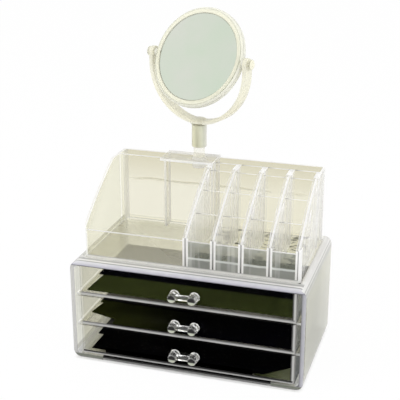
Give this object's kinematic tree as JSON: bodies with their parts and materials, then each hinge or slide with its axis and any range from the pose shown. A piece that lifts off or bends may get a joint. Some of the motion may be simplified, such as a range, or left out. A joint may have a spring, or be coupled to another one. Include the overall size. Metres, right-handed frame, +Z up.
{
  "type": "make-up organizer",
  "caption": "Clear make-up organizer: a case with drawers under a divided open tray, with a round tilting mirror in a yoke on a bridge over the tray's back.",
  "frame": {"origin": "middle of the case's underside", "axes": "+X to the right seen from the front, +Y to the back, +Z up; the drawers open along -Y"},
  "size_m": [0.24, 0.1606, 0.3414],
  "materials": {
    "clear_plastic": "clear, polished, faintly cream",
    "post_plastic": "clear, pale yellow-green",
    "liner": "dark matt sheet with a faint olive sheen",
    "mirror_glass": "silvered glass"
  },
  "bodies": {
    "case": {"case_shell": "clear_plastic"},
    "drawer_1": {"drawer_1": "clear_plastic", "handle_1": "clear_plastic", "liner_1": "liner"},
    "drawer_2": {"drawer_2": "clear_plastic", "handle_2": "clear_plastic", "liner_2": "liner"},
    "drawer_3": {"drawer_3": "clear_plastic", "handle_3": "clear_plastic", "liner_3": "liner"},
    "tray": {"organizer_tray": "clear_plastic"},
    "bridge": {"mirror_bridge": "clear_plastic"},
    "stand": {"mirror_stem": "clear_plastic", "mirror_post": "post_plastic", "post_collar": "clear_plastic", "mirror_yoke": "clear_plastic"},
    "mirror": {"mirror_frame": "clear_plastic", "mirror_glass_front": "mirror_glass", "mirror_glass_back": "mirror_glass", "pivot_pin_left": "clear_plastic", "pivot_pin_right": "clear_plastic"}
  },
  "joints": [
    {"name": "drawer_1_slide", "type": "slide", "parent": "case", "child": "drawer_1", "axis": [0, -1, 0], "range_m": [0, 0.105]},
    {"name": "drawer_2_slide", "type": "slide", "parent": "case", "child": "drawer_2", "axis": [0, -1, 0], "range_m": [0, 0.105]},
    {"name": "drawer_3_slide", "type": "slide", "parent": "case", "child": "drawer_3", "axis": [0, -1, 0], "range_m": [0, 0.105]},
    {"name": "tray_lift", "type": "slide", "parent": "case", "child": "tray", "axis": [0, 0, 1], "range_m": [0, 0.06]},
    {"name": "bridge_lift", "type": "slide", "parent": "tray", "child": "bridge", "axis": [0, 0, 1], "range_m": [0, 0.09]},
    {"name": "mirror_swivel", "type": "hinge", "parent": "bridge", "child": "stand", "pos_m": [-0.022, 0.0509, 0.1887], "axis": [0, 0, 1], "continuous": true},
    {"name": "mirror_tilt", "type": "hinge", "parent": "stand", "child": "mirror", "pos_m": [-0.022, 0.0509, 0.2933], "axis": [0.9553, -0.2957, 0], "continuous": true}
  ]
}
